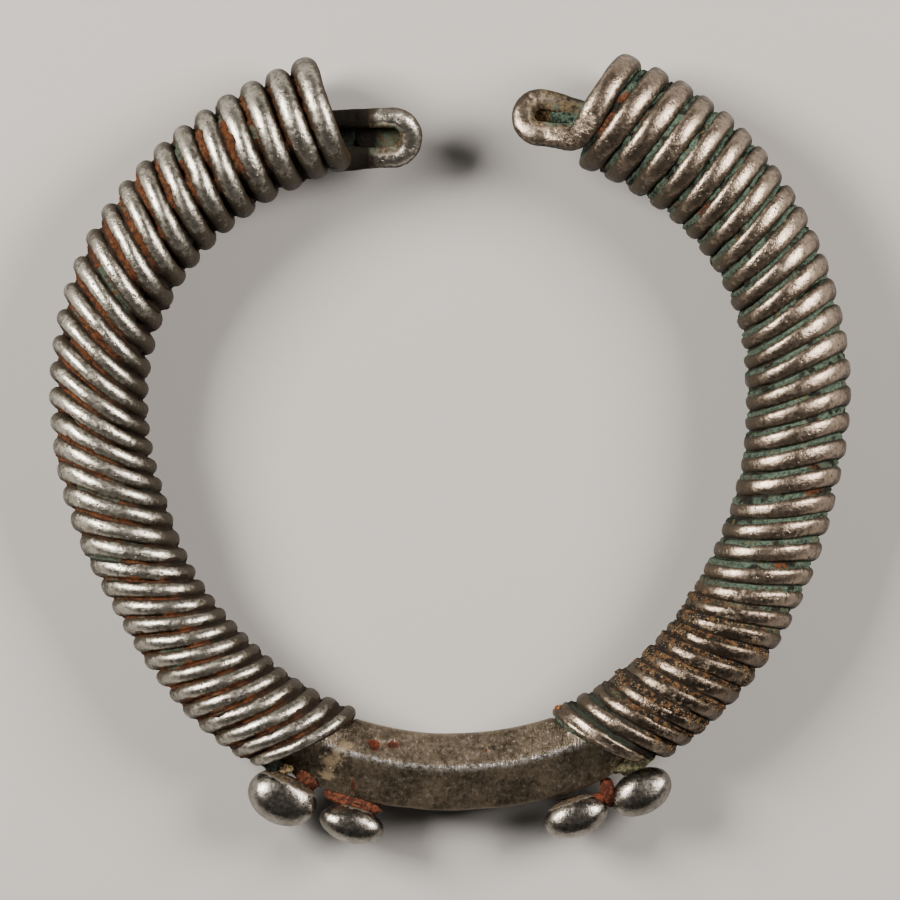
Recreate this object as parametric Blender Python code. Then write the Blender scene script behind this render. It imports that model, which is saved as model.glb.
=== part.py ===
"""Silver bracelet wound with its own wire, lying flat.

One forged rod makes the whole hoop. Its thick middle is a ridged bar. On both sides of the bar the rod
runs on as a round core, comes out at the terminal as a small eye loop, and goes back along the hoop as a
tightly wound wire that thins towards the bar. Four oval knobs sit on the outer edge of the bar, two at
each end.

The hoop lies in the XY plane with its front up. Angles are measured about the hoop's centre, anticlockwise
from +X, and the terminals are at +Y. The part's origin is under the middle of its bounding box.
"""

import math

import bmesh
import bpy
import numpy as np

MM = 0.001

# Hoop centre line: a circle with gentle lobes, each (lobes round the hoop, height, direction in degrees)
HOOP_RADIUS = 34.7 * MM
HOOP_LOBES = (
    (1, 0.88 * MM, 76.0),
    (2, 0.35 * MM, 12.0),
    (3, 0.81 * MM, 37.6),
    (4, 0.26 * MM, -37.0),
    (5, 0.15 * MM, 21.0),
)

# Bar: a ridged front over a flat back, widest in its middle
BAR_ANGLE = 272.0
BAR_WIDTH = 7.9 * MM
BAR_RIDGE_HEIGHT = 3.0 * MM
BAR_RIDGE_INSET = 0.45 * MM
BAR_BACK_DEPTH = 3.0 * MM
BAR_BACK_WIDTH = 4.4 * MM
BAR_EDGE_LIFT = 0.6 * MM
BAR_OUTER_TAPER = 9.0
BAR_INNER_TAPER = 2.2
BAR_CLEARANCE = 0.35 * MM

# Windings: stations are (share of the arm from terminal to bar, value). The tilt is how far, in degrees, a
# turn's inner side lies nearer the bar than its outer side. The wander holds the heights, in degrees, of the
# sines by which the hand-wound turns stray from even spacing along the arm: one half wave, two half waves and
# so on. The bar reach is the angle from the bar's middle to the last crest.
WIRE_AT_EYE = 2.70 * MM
UPPER_STRAND = 1.90 * MM
WIRE_MIDWAY = 1.95 * MM
WIRE_AT_BAR = 1.68 * MM
GROOVE = 0.52 * MM
TURN_CLEARANCE = 0.14 * MM
CORE_CLEARANCE = 0.2 * MM
CORE_END_ANGLE = 2.0
BAND_WIDENING = 0.55 * MM
BAND_TURNS = 0.75
COIL_AT_BAR = 9.85 * MM
ARMS = {
    "right": {
        "sign": -1,
        "first_crest": 64.0,
        "bar_reach": 29.2,
        "coil_width": (
            (0, 12.4 * MM),
            (0.1, 12.2 * MM),
            (0.23, 11.1 * MM),
            (0.35, 10.5 * MM),
            (0.47, 10.7 * MM),
            (0.6, 10.1 * MM),
            (0.75, 10.3 * MM),
            (1, COIL_AT_BAR),
        ),
        "tilt": (
            (0, -1.3),
            (0.12, 3.0),
            (0.22, 5.0),
            (0.5, 5.8),
            (0.7, 7.8),
            (0.81, 6.8),
            (0.94, 9.0),
            (1, 11.0),
        ),
        "wander": (1.9, -1.5, 0.8, 0.2, 0.3),
        "lead_steps": 4,
        "tail_steps": -1,
        "band": BAND_WIDENING,
        "eye_radius": 1.75 * MM,
        "eye_reach": 5.9 * MM,
        "eye_drop": 0.75 * MM,
        "exit_drop": 0.6 * MM,
        "eye_lift": (1.9 * MM, 0.3 * MM),
    },
    "left": {
        "sign": 1,
        "first_crest": 111.7,
        "bar_reach": 32.8,
        "coil_width": (
            (0, 12.1 * MM),
            (0.25, 11.1 * MM),
            (0.5, 10.0 * MM),
            (0.64, 9.9 * MM),
            (0.75, 9.2 * MM),
            (0.92, 10.1 * MM),
            (1, COIL_AT_BAR),
        ),
        "tilt": ((0, 2.4), (0.13, 7.2), (0.25, 10.0), (0.5, 9.8), (0.8, 8.8), (0.94, 10.6), (1, 12.8)),
        "wander": (5.0, -0.8),
        "lead_steps": 6,
        "tail_steps": 1,
        "band": 0.0,
        "eye_radius": 1.85 * MM,
        "eye_reach": 6.3 * MM,
        "eye_drop": 2.5 * MM,
        "exit_drop": 0.8 * MM,
        "eye_lift": (-0.9 * MM, 0.8 * MM),
    },
}
EYE_LEAD_ANGLE = 1.2
LOWER_PULL = 0.8
UPPER_PULL = 0.5
SHOULDER_LENGTH = 3.0 * MM

# Knobs: off is the angle from the bar's middle and overhang the distance beyond the bar's outer edge line
KNOBS = {
    "knob_left_outer": {
        "off": -26.7,
        "overhang": 2.3 * MM,
        "length": 7.4 * MM,
        "breadth": 5.6 * MM,
        "thickness": 5.4 * MM,
    },
    "knob_left_inner": {
        "off": -16.1,
        "overhang": 2.5 * MM,
        "length": 6.9 * MM,
        "breadth": 3.9 * MM,
        "thickness": 4.8 * MM,
    },
    "knob_right_inner": {
        "off": 16.2,
        "overhang": 2.4 * MM,
        "length": 6.9 * MM,
        "breadth": 4.3 * MM,
        "thickness": 4.8 * MM,
    },
    "knob_right_outer": {
        "off": 26.1,
        "overhang": 2.6 * MM,
        "length": 6.7 * MM,
        "breadth": 4.6 * MM,
        "thickness": 5.0 * MM,
    },
}
KNOB_LATITUDES = (-0.42 * math.pi, 0.46 * math.pi)
KNOB_TABLE_SHARE = 0.84
KNOB_TABLE_DOME = 0.55
KNOB_FOOT_RADIUS = 1.1 * MM
SOLDER_GAP = 0.3 * MM

# Facets
TURN_STEPS = 12
EYE_ARC_STEPS = 7
STRAND_STEPS = 4
CORE_STEPS = 15
BAR_STEPS = 8
KNOB_SIDES = 12
KNOB_RINGS = 6
TIP_SHRINK = (0.45, 0.85)
LENGTH_SAMPLES = 41
SMOOTH_BELOW = 50.0

# Wire section: (outward share of the half height, sideways share of the half width) of its five corners
WIRE_SECTION = np.array([(1.0, 0.5), (-0.1, 1.0), (-1.0, 0.0), (-0.1, -1.0), (1.0, -0.5)])
ROUND_SECTION = np.array([(math.cos(a), math.sin(a)) for a in np.arange(5) * math.tau / 5])

UP = np.array([0.0, 0.0, 1.0])


def cubic(t, start, start_slope, end, end_slope):
    """The cubic curve between two values or points with the given slopes, at shares t of the way."""
    leaving = (2 * t**3 - 3 * t**2 + 1) * start + (t**3 - 2 * t**2 + t) * start_slope
    return leaving + (3 * t**2 - 2 * t**3) * end + (t**3 - t**2) * end_slope


def along(stations, share):
    """Value at a share of the arm: cubic pieces through the stations, sloped by their neighbours."""
    at, value = np.array(stations, float).T
    share = np.clip(share, at[0], at[-1])
    slope = np.gradient(value, at)
    i = np.clip(np.searchsorted(at, share) - 1, 0, len(at) - 2)
    step = at[i + 1] - at[i]
    return cubic((share - at[i]) / step, value[i], step * slope[i], value[i + 1], step * slope[i + 1])


def outward(angle):
    """Unit vectors from the hoop's centre, for angles in degrees."""
    a = np.radians(angle)
    return np.stack([np.cos(a), np.sin(a), np.zeros_like(a)], axis=-1)


def hoop_radius(angle):
    """Distance of the centre line from the hoop's centre: the mean radius plus each lobe's cosine."""
    radius = HOOP_RADIUS
    for lobes, height, direction in HOOP_LOBES:
        radius = radius + height * np.cos(np.radians(lobes * (angle - direction)))
    return radius


def bar_side(arm, off):
    """Angle round the hoop at an angle off the middle of the bar, towards an arm."""
    return BAR_ANGLE % 360 - arm["sign"] * off - (360 if arm["sign"] < 0 else 0)


def span_of(arm):
    """Angle from the arm's first crest to its last."""
    return abs(bar_side(arm, arm["bar_reach"]) - arm["first_crest"])


def share_at(arm, angle):
    """Share of the arm, 0 at its first crest and 1 at its last."""
    return arm["sign"] * (angle - arm["first_crest"]) / span_of(arm)


def wire_width(share):
    """Thickness of the wound wire, which thins from the eye to the bar."""
    return along(((0, WIRE_AT_EYE), (0.45, WIRE_MIDWAY), (1, WIRE_AT_BAR)), share)


def coil_radius(arm, share):
    """Outer radius of the windings, which is also the height of the hoop's axis above the floor."""
    return along(arm["coil_width"], share) / 2


def turns_of(arm):
    """Whole turns that fit between the first and last crests, each as wide as the wire and the groove."""
    shares = np.linspace(0, 1, LENGTH_SAMPLES)
    angles = arm["first_crest"] + arm["sign"] * span_of(arm) * shares
    crest_radius = hoop_radius(angles) + coil_radius(arm, shares)
    length = math.radians(span_of(arm)) * crest_radius.mean()
    return max(2, round(length / (wire_width(shares).mean() + GROOVE)))


def winding_angle(arm, turn):
    """Angle round the hoop at a turn number: even turns and their wander, each leaning by the arm's tilt."""
    share = turn / turns_of(arm)
    stray = sum(height * np.sin(math.pi * (k + 1) * share) for k, height in enumerate(arm["wander"]))
    lean = along(arm["tilt"], share) * (1 - np.cos(turn * math.tau)) / 2
    return arm["first_crest"] + arm["sign"] * (span_of(arm) * share + stray + lean)


def winding_rings(arm):
    """Corner rings of the wound wire from its tail at the bar to its start at the eye.

    A turn runs outer side, back, inner side, front. The wire's width is its own thickness, or the room that
    the neighbouring turns leave at that side of the hoop where this is less."""
    last = turns_of(arm)
    turn = np.arange(last * TURN_STEPS + arm["tail_steps"], -arm["lead_steps"] - 1, -1) / TURN_STEPS
    share = turn / last
    angle = winding_angle(arm, turn)
    thickness = wire_width(share)
    coil = coil_radius(arm, share_at(arm, angle))
    middle = coil - thickness / 2
    phase = turn * math.tau
    radial = outward(angle)
    normal = np.cos(phase)[:, None] * radial - np.sin(phase)[:, None] * UP
    local_radius = hoop_radius(angle) + np.cos(phase) * middle
    next_gap = np.abs(winding_angle(arm, turn + 1) - angle)
    previous_gap = np.abs(angle - winding_angle(arm, turn - 1))
    room = np.radians(np.minimum(next_gap, previous_gap)) * local_radius - TURN_CLEARANCE
    half = np.minimum(thickness, room) / 2
    # The flattened last stretch swells after the back and is gone again at the last crest
    through_band = np.clip((turn - last) / BAND_TURNS + 1, 0, 1)
    band = arm["band"] / 2 * np.sin(math.pi * through_band)
    end = np.ones(len(turn))
    end[: len(TIP_SHRINK)] = TIP_SHRINK
    centre = hoop_radius(angle)[:, None] * radial + coil[:, None] * UP + middle[:, None] * normal
    n = WIRE_SECTION[:, 0] * (thickness / 2 * end)[:, None]
    b = WIRE_SECTION[:, 1] * ((half + band) * end)[:, None]
    # The sideways direction runs along the hoop to the terminal; the band widens only towards the bar
    side = -arm["sign"] * np.cross(UP, radial)
    moved = (centre - band[:, None] * side)[:, None]
    return moved + n[..., None] * normal[:, None] + b[..., None] * side[:, None], centre, normal


def unit(vectors):
    """The same directions with length one."""
    return vectors / np.linalg.norm(vectors, axis=-1, keepdims=True)


def eye_path(arm, joint, joint_way):
    """Centre points and outward directions of the eye, from the first turn to the core's end.

    The lower strand leaves the first turn and meets a round loop that stands clear of the windings. The loop
    turns back above it, and the upper strand enters the windings on the core's axis."""
    face_angle = arm["first_crest"] - EYE_LEAD_ANGLE * arm["sign"]
    away = np.array([float(arm["sign"]), 0.0, 0.0])
    inside = np.array([0.0, -1.0, 0.0])
    face = hoop_radius(face_angle) * outward(face_angle) + coil_radius(arm, 0) * UP
    lower_lift, upper_lift = arm["eye_lift"]
    centre = face + arm["eye_reach"] * away + arm["eye_drop"] * inside
    core_end = face + arm["exit_drop"] * inside
    swing = np.linspace(0, math.pi, EYE_ARC_STEPS + 1)
    ray = np.cos(swing)[:, None] * inside + np.sin(swing)[:, None] * away
    lift = lower_lift + (upper_lift - lower_lift) * (1 - np.cos(swing)) / 2
    loop = centre + arm["eye_radius"] * ray + lift[:, None] * UP
    reach = arm["eye_reach"]
    t = np.linspace(0, 1, STRAND_STEPS + 1)[1:, None]
    lower = cubic(t, joint, reach * joint_way, loop[0], LOWER_PULL * reach * away)
    inward = unit(core_end - loop[-1])
    upper = cubic(t, loop[-1], -UPPER_PULL * reach * away, core_end, UPPER_PULL * reach * inward)
    points = np.concatenate([lower, loop[1:], upper])
    return points, ray, len(lower), len(upper)


def swept_rings(points, normals, half_height, half_width, section, mirror):
    """Corner rings round a path: each ring is square to the path, with its first corner along the normal."""
    way = unit(np.gradient(points, axis=0))
    normals = unit(normals - (normals * way).sum(axis=1, keepdims=True) * way)
    side = mirror * np.cross(way, normals)
    n = section[..., 0] * half_height[:, None]
    b = section[..., 1] * half_width[:, None]
    return points[:, None] + n[..., None] * normals[:, None] + b[..., None] * side[:, None]


def eye_rings(arm, joint, joint_way, joint_normal):
    """Corner rings of the eye, which is as thick as the wire's end below and thinner in its upper strand."""
    points, ray, lower, upper = eye_path(arm, joint, joint_way)
    t = np.linspace(0, 1, lower + 1)[1:, None]
    normals_lower = (1 - t) * joint_normal + t * ray[0]
    core_side = np.repeat(outward(arm["first_crest"])[None], upper, axis=0)
    normals = np.concatenate([normals_lower, ray[1:], core_side])
    half = np.linspace(WIRE_AT_EYE, UPPER_STRAND, len(points)) / 2
    blend = np.clip(np.linspace(0, 2, len(points)), 0, 1)[:, None, None]
    section = (1 - blend) * WIRE_SECTION + blend * ROUND_SECTION
    return swept_rings(points, normals, half, half, section, -arm["sign"])[:-1]


def axis_rings(angle, height, section_n, section_b):
    """Corner rings square to the hoop's centre line, from offsets outward and upward."""
    radial = outward(angle)
    base = hoop_radius(angle)[:, None] * radial + height[:, None] * UP
    return base[:, None] + section_n[..., None] * radial[:, None] + section_b[..., None] * UP


def core_radius(arm, share):
    """Radius of the core, which fills the windings but for a clearance on their flat facets."""
    inner = (coil_radius(arm, share) - wire_width(share)) * math.cos(math.pi / TURN_STEPS)
    return inner - CORE_CLEARANCE


def core_rings(arm):
    """Corner rings of the core, from the shoulder behind the eye to the end of the windings."""
    begin = arm["first_crest"]
    finish = bar_side(arm, arm["bar_reach"] + CORE_END_ANGLE)
    angle = np.linspace(begin, finish, CORE_STEPS + 1)
    angle[1] = arm["first_crest"] + arm["sign"] * math.degrees(SHOULDER_LENGTH / HOOP_RADIUS)
    share = share_at(arm, angle)
    radius = core_radius(arm, share)
    radius[0] = UPPER_STRAND / 2
    n = ROUND_SECTION[:, 0] * radius[:, None]
    b = ROUND_SECTION[:, 1] * radius[:, None]
    return axis_rings(angle, coil_radius(arm, share), n, b)


def bar_corners():
    """Outward and upward offsets of the bar's corners: outer edge, ridge, inner edge and the flat back."""
    return np.array(
        [
            (BAR_WIDTH / 2, BAR_EDGE_LIFT),
            (-BAR_RIDGE_INSET, BAR_RIDGE_HEIGHT),
            (-BAR_WIDTH / 2, BAR_EDGE_LIFT),
            (-BAR_BACK_WIDTH / 2, -BAR_BACK_DEPTH),
            (BAR_BACK_WIDTH / 2, -BAR_BACK_DEPTH),
        ]
    )


def bar_ends(arm):
    """Angles off the bar's middle where its full section ends, at the outer edge and at the inner edge.

    The inner edge ends at the near side of the last turn's inner stretch; the outer edge tapers longer, under
    the knobs."""
    last = turns_of(arm)
    inner_turn = abs(winding_angle(arm, last - 0.5) - bar_side(arm, 0))
    wire = wire_width(1) / 2 + arm["band"] / 2 + BAR_CLEARANCE
    inner_radius = hoop_radius(BAR_ANGLE) - COIL_AT_BAR / 2
    return arm["bar_reach"] - BAR_OUTER_TAPER, inner_turn - math.degrees(wire / inner_radius)


def bar_end_rings(arm):
    """The slanted ring at the core's end and the one where the full bar begins, on an arm's side."""
    outer_end, inner_end = bar_ends(arm)
    corners = bar_corners()
    outer_share = (corners[:, :1] / BAR_WIDTH + 0.5)[:, 0]
    full = outer_share * outer_end + (1 - outer_share) * inner_end
    taper = outer_share * BAR_OUTER_TAPER + (1 - outer_share) * BAR_INNER_TAPER
    rings = []
    for off, section in ((full + taper, ROUND_SECTION * core_radius(arm, 1.0)), (full, corners)):
        angle = bar_side(arm, off)
        reach = hoop_radius(angle) + section[:, 0]
        rings.append(reach[:, None] * outward(angle) + (COIL_AT_BAR / 2 + section[:, 1])[:, None] * UP)
    return np.array(rings)


def bar_rings():
    """Corner rings of the bar, from the right arm's core to the left arm's."""
    right, left = ARMS["right"], ARMS["left"]
    begin = BAR_ANGLE + min(bar_ends(right))
    finish = BAR_ANGLE - min(bar_ends(left))
    angle = np.linspace(begin, finish, BAR_STEPS + 1)[1:-1]
    n, b = np.moveaxis(np.repeat(bar_corners()[None], len(angle), axis=0), -1, 0)
    middle = axis_rings(angle, np.full(len(angle), COIL_AT_BAR / 2), n, b)
    return np.concatenate([bar_end_rings(right), middle, bar_end_rings(left)[::-1]])


def arm_rings(arm):
    """All rings of one arm: from the wire's tail through windings and eye to the core's end at the bar."""
    winding, centres, normals = winding_rings(arm)
    joint_way = unit(centres[-1] - centres[-2])
    eye = eye_rings(arm, centres[-1], joint_way, normals[-1])
    return np.concatenate([winding, eye, core_rings(arm)])


def new_object(name, vertices, faces):
    """A named object from points and faces, with its faces pointing out."""
    mesh = bpy.data.meshes.new(name)
    mesh.from_pydata([tuple(v) for v in vertices], [], faces)
    work = bmesh.new()
    work.from_mesh(mesh)
    bmesh.ops.recalc_face_normals(work, faces=work.faces)
    work.to_mesh(mesh)
    work.free()
    mesh.shade_smooth()
    mesh.set_sharp_from_angle(angle=math.radians(SMOOTH_BELOW))
    made = bpy.data.objects.new(name, mesh)
    bpy.context.scene.collection.objects.link(made)
    return made


def lofted(name, rings):
    """A closed tube through rings of equal corner count, with a flat cap on each end."""
    count, sides = rings.shape[:2]
    at = np.arange(count * sides).reshape(count, sides)
    here, there = at[:-1], at[1:]
    quads = np.stack([here, there, np.roll(there, -1, 1), np.roll(here, -1, 1)], axis=-1)
    faces = quads.reshape(-1, 4).tolist()
    faces += [at[0].tolist(), at[-1][::-1].tolist()]
    return new_object(name, rings.reshape(-1, 3), faces)


def wound_hoop():
    """The whole rod as one body: right arm, bar and left arm in one sweep."""
    right = arm_rings(ARMS["right"])
    left = arm_rings(ARMS["left"])[::-1]
    return lofted("wound_hoop", np.concatenate([right, bar_rings(), left]))


def bar_edge(off):
    """Distance of the bar's outer edge from the hoop's centre, at an angle off the bar's middle."""
    arm = ARMS["right"] if off > 0 else ARMS["left"]
    taper = np.clip((abs(off) - bar_ends(arm)[0]) / BAR_OUTER_TAPER, 0, 1)
    half_width = BAR_WIDTH / 2 + taper * (core_radius(arm, 1.0) - BAR_WIDTH / 2)
    return hoop_radius(BAR_ANGLE + off) + half_width


def knob(name, off, overhang, length, breadth, thickness):
    """An oval knob: rings square to the hoop's radius swell from a small foot on the bar to the crown.

    Its front is a little flatter above a share of its half thickness."""
    angle = BAR_ANGLE + off
    radial = outward(angle)
    tangent = np.cross(UP, radial)
    foot = bar_edge(off) + SOLDER_GAP
    latitude = np.linspace(*KNOB_LATITUDES, KNOB_RINGS)
    reach = hoop_radius(angle) + BAR_WIDTH / 2 + overhang + breadth / 2 * np.sin(latitude)
    swell = np.cos(latitude)
    keep = reach > foot
    reach = np.concatenate([[foot], reach[keep]])
    half_length = np.concatenate([[KNOB_FOOT_RADIUS], length / 2 * swell[keep]])
    half_height = np.concatenate([[KNOB_FOOT_RADIUS], thickness / 2 * swell[keep]])
    turn = np.arange(KNOB_SIDES) * math.tau / KNOB_SIDES
    across = half_length[:, None] * np.cos(turn)
    up = half_height[:, None] * np.sin(turn)
    table = KNOB_TABLE_SHARE * thickness / 2
    up = np.where(up > table, table + (up - table) * KNOB_TABLE_DOME, up)
    centre = reach[:, None] * radial + COIL_AT_BAR / 2 * UP
    rings = centre[:, None] + across[..., None] * tangent + up[..., None] * UP
    return lofted(name, rings)


def silver(name, colour, roughness):
    """A tarnished silver material."""
    material = bpy.data.materials.new(name)
    material.use_nodes = True
    shader = material.node_tree.nodes["Principled BSDF"]
    shader.inputs["Base Color"].default_value = (*colour, 1.0)
    shader.inputs["Metallic"].default_value = 1.0
    shader.inputs["Roughness"].default_value = roughness
    return material


def stand_on_floor(pieces):
    """Parent the pieces to an empty, moved so that the origin is under the middle of their common box."""
    corners = np.array([v.co for piece in pieces for v in piece.data.vertices])
    low, high = corners.min(axis=0), corners.max(axis=0)
    rest = bpy.data.objects.new("bracelet", None)
    bpy.context.scene.collection.objects.link(rest)
    for piece in pieces:
        piece.parent = rest
    rest.location = (-(low[0] + high[0]) / 2, -(low[1] + high[1]) / 2, -low[2])


def main():
    for old in list(bpy.data.objects):
        bpy.data.objects.remove(old, do_unlink=True)
    hoop = wound_hoop()
    hoop.data.materials.append(silver("hoop_silver", (0.42, 0.38, 0.33), 0.38))
    knobs = [knob(name, **sizes) for name, sizes in KNOBS.items()]
    for piece in knobs:
        piece.data.materials.append(silver(piece.name + "_silver", (0.52, 0.49, 0.44), 0.28))
    stand_on_floor([hoop, *knobs])


main()
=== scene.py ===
"""Looks of the wound silver bracelet: smooth worn wire, crusted grooves, the forged bar and its knobs.

Every piece follows the same laws as the solids, with finer turns. Shapes are worked out about the hoop's
centre and moved to its place in the frame at the end. Lengths are metres, angles round the hoop degrees.
"""

import math

import bpy
import numpy as np
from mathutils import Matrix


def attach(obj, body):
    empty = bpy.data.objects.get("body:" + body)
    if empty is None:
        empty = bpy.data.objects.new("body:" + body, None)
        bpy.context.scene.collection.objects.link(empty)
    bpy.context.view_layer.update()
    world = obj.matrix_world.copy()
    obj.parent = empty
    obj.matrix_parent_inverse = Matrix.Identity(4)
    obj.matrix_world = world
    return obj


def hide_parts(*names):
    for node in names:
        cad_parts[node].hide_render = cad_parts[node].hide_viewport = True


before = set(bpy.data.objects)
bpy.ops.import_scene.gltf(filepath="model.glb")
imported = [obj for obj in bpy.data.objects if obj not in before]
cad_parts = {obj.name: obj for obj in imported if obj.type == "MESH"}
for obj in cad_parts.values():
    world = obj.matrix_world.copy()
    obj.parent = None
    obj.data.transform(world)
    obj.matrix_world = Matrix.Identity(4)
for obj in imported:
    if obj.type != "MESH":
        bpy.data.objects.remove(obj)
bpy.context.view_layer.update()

MM = 0.001
UP = np.array([0.0, 0.0, 1.0])
# The hoop's centre in the frame
HOOP_PLACE = np.array([-0.0183, 1.6093, 0.0]) * MM

# Hoop centre line, as in the solids: a circle with lobes, each with its count, height and direction
HOOP_RADIUS = 34.7 * MM
HOOP_LOBES = (
    (1, 0.88 * MM, 76.0),
    (2, 0.35 * MM, 12.0),
    (3, 0.81 * MM, 37.6),
    (4, 0.26 * MM, -37.0),
    (5, 0.15 * MM, 21.0),
)

# Bar, as in the solids. It starts to narrow at the reach, in degrees from its middle, and is gone at the end
# of the taper; both are given for its outer and its inner rim
BAR_ANGLE = 272.0
BAR_WIDTH = 7.9 * MM
BAR_RIDGE_HEIGHT = 3.0 * MM
BAR_RIDGE_INSET = 0.45 * MM
BAR_BACK_DEPTH = 3.0 * MM
BAR_BACK_WIDTH = 4.4 * MM
BAR_EDGE_LIFT = 0.6 * MM
BAR_RIGHT_REACH = (20.2, 17.3)
BAR_LEFT_REACH = (23.8, 19.8)
BAR_TAPER = (9.0, 2.2)
CORE_CLEARANCE = 0.12 * MM

# Windings, on the laws of the solids but packed closer. Bunched gives the places where the turns crowd
# together: the middle turn, the reach in turns, and the degrees by which crests there lie nearer the bar than
# the even law puts them. Square and flat shape the wire's section; narrowed, pinch and lean make it uneven
WIRE_AT_EYE = 2.70 * MM
UPPER_STRAND = 1.90 * MM
WIRE_MIDWAY = 1.95 * MM
WIRE_AT_BAR = 1.68 * MM
COIL_AT_BAR = 9.85 * MM
TURN_CLEARANCE = 0.06 * MM
WIRE_SWAY = 0.07 * MM
WIRE_UNEVENNESS = 0.06
TIP_START = 0.35
TIP_TURNS = 2.2 / 12
BAND_TURNS = 0.75
EYE_LEAD_ANGLE = 1.2
LOWER_PULL = 0.8
UPPER_PULL = 0.5
# Ends of the eyes' openings from the hoop's centre, in millimetres
LEFT_OPENING = (-6.1, 29.35)
RIGHT_OPENING = (9.2, 31.7)
ARMS = {
    "right": {
        "sign": -1,
        "first_crest": 64.0,
        "last_crest": -58.8,
        "turns": 34,
        "coil_width": (
            (0, 12.4 * MM),
            (0.1, 12.2 * MM),
            (0.23, 11.1 * MM),
            (0.35, 10.5 * MM),
            (0.47, 10.7 * MM),
            (0.6, 10.1 * MM),
            (0.75, 10.3 * MM),
            (1, COIL_AT_BAR),
        ),
        "tilt": (
            (0, -1.3),
            (0.12, 3.0),
            (0.22, 5.0),
            (0.5, 5.8),
            (0.7, 7.8),
            (0.81, 6.8),
            (0.94, 9.0),
            (1, 11.0),
        ),
        "wander": (1.9, -1.5, 0.8, 0.2, 0.3),
        "bunched": (
            (2, 3, 0.35),
            (7.5, 3.5, -0.35),
            (13.5, 1.5, -0.2),
            (17.5, 3, -0.5),
            (21.2, 1.6, -0.4),
            (27.6, 4, -0.6),
            (32.5, 1.8, -0.4),
        ),
        "square": 2.7,
        "flat": (1.2, 1.2),
        "narrowed": 0.96,
        "pinch": 0.13,
        "first_gap": 0.3 * MM,
        "lean": 0.05,
        "lead": 4 / 12,
        "tail": -1 / 12,
        "band": 0.55 * MM,
        "eye_radius": 1.75 * MM,
        "eye_reach": 5.9 * MM,
        "eye_drop": 0.75 * MM,
        "exit_drop": 0.6 * MM,
        "eye_lift": (1.9 * MM, 0.3 * MM),
    },
    "left": {
        "sign": 1,
        "first_crest": 111.7,
        "last_crest": 239.2,
        "turns": 35,
        "coil_width": (
            (0, 12.1 * MM),
            (0.25, 11.1 * MM),
            (0.5, 10.0 * MM),
            (0.64, 9.9 * MM),
            (0.75, 9.2 * MM),
            (0.92, 10.1 * MM),
            (1, COIL_AT_BAR),
        ),
        "tilt": ((0, 2.4), (0.13, 7.2), (0.25, 10.0), (0.5, 9.8), (0.8, 8.8), (0.94, 10.6), (1, 12.8)),
        "wander": (5.0, -0.8),
        "bunched": (
            (3, 4.5, 0.6),
            (8.3, 2.8, -0.45),
            (12.4, 3.4, 0.35),
            (19, 3, -0.5),
            (25, 5, 0.45),
            (33.2, 3.2, 0.4),
        ),
        "square": 2.15,
        "flat": (1.0, 1.32),
        "narrowed": 0.96,
        "pinch": 0.0,
        "first_gap": 0.0,
        "lean": 0.0,
        "lead": 6 / 12,
        "tail": 1 / 12,
        "band": 0.0,
        "eye_radius": 1.85 * MM,
        "eye_reach": 6.3 * MM,
        "eye_drop": 2.5 * MM,
        "exit_drop": 0.8 * MM,
        "eye_lift": (-0.9 * MM, 0.8 * MM),
    },
}

# Knobs: angle from the bar's middle, distance past the bar's edge line, length, breadth, thickness
KNOBS = {
    "knob_left_outer": (-26.7, 2.3 * MM, 7.4 * MM, 5.6 * MM, 5.4 * MM),
    "knob_left_inner": (-16.1, 2.5 * MM, 6.9 * MM, 3.9 * MM, 4.8 * MM),
    "knob_right_inner": (16.2, 2.4 * MM, 6.9 * MM, 4.3 * MM, 4.8 * MM),
    "knob_right_outer": (26.1, 2.6 * MM, 6.7 * MM, 4.6 * MM, 5.0 * MM),
}
# Round shapes bulge past the flat facets of the solids, so the knobs shown are a touch smaller
KNOB_SCALE = 0.975
KNOB_GAP = 0.3 * MM
KNOB_FOOT = 1.1 * MM
# The front is pressed: above a share of the half thickness, part of the swell is taken off, with a soft edge
KNOB_TABLE = 0.84
KNOB_PRESSED = 0.45
KNOB_TABLE_EDGE = 0.10 * MM

# Torn, pitted patches of the wire: place from the hoop's centre and reach, in millimetres
SCARS = (
    (11.7, 30.2, 1.8),
    (13.5, 30.8, 1.3),
)
# Stains of the second colour in the grooves: place from the hoop's centre and reach, in millimetres
GROOVE_STAINS = {
    "right_groove_crust": ((15.8, 31.5, 1.5), (14.6, 30.0, 1.5), (20.6, 31.9, 0.9)),
    "left_groove_crust": (
        (-34.4, 15.3, 2.0),
        (-32.2, 12.3, 2.6),
        (-26.8, 28.2, 1.6),
        (-34.5, -12.6, 2.2),
        (-31.6, -10.9, 1.5),
        (-27.6, -22.2, 1.9),
    ),
}
# Open gaps in the grooves: turn of the middle and half length in turns
OPEN_GROOVES = {
    "right_groove_crust": ((10.87, 0.12),),
    "left_groove_crust": ((12.93, 0.06), (15.9, 0.09), (18.93, 0.06)),
}
# The groove's crust: places across it, from one wire's middle at -1 to the next one's at 1, and its underside
FILL_ACROSS = (-0.62, -0.42, -0.3, -0.2, -0.1, 0.0, 0.1, 0.2, 0.3, 0.42, 0.62)
FILL_UNDERSIDE = (0.8, 0.65, 0.5, 0.35, 0.2)
FILL_DEPTH = 0.97
# Stains on the bar's front: place from the hoop's centre and half sizes, in millimetres
BAR_MARKS = {
    "patch": ((-11.7, -32.6, 1.5, 1.0), (-10.6, -31.2, 1.0, 0.6), (-12.3, -34.2, 1.2, 0.7)),
    "streak": ((-9.7, -35.3, 0.35, 1.1), (-7.9, -31.0, 0.8, 0.6), (-5.7, -31.2, 1.0, 0.5)),
}
# Pits in the bar's front: angle, distance from the hoop's centre, radius and depth
BAR_PITS = (
    (256.5, 32.1 * MM, 0.65 * MM, 0.4 * MM),
    (259.4, 31.6 * MM, 0.45 * MM, 0.3 * MM),
    (276.5, 31.9 * MM, 0.25 * MM, 0.2 * MM),
)
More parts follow.
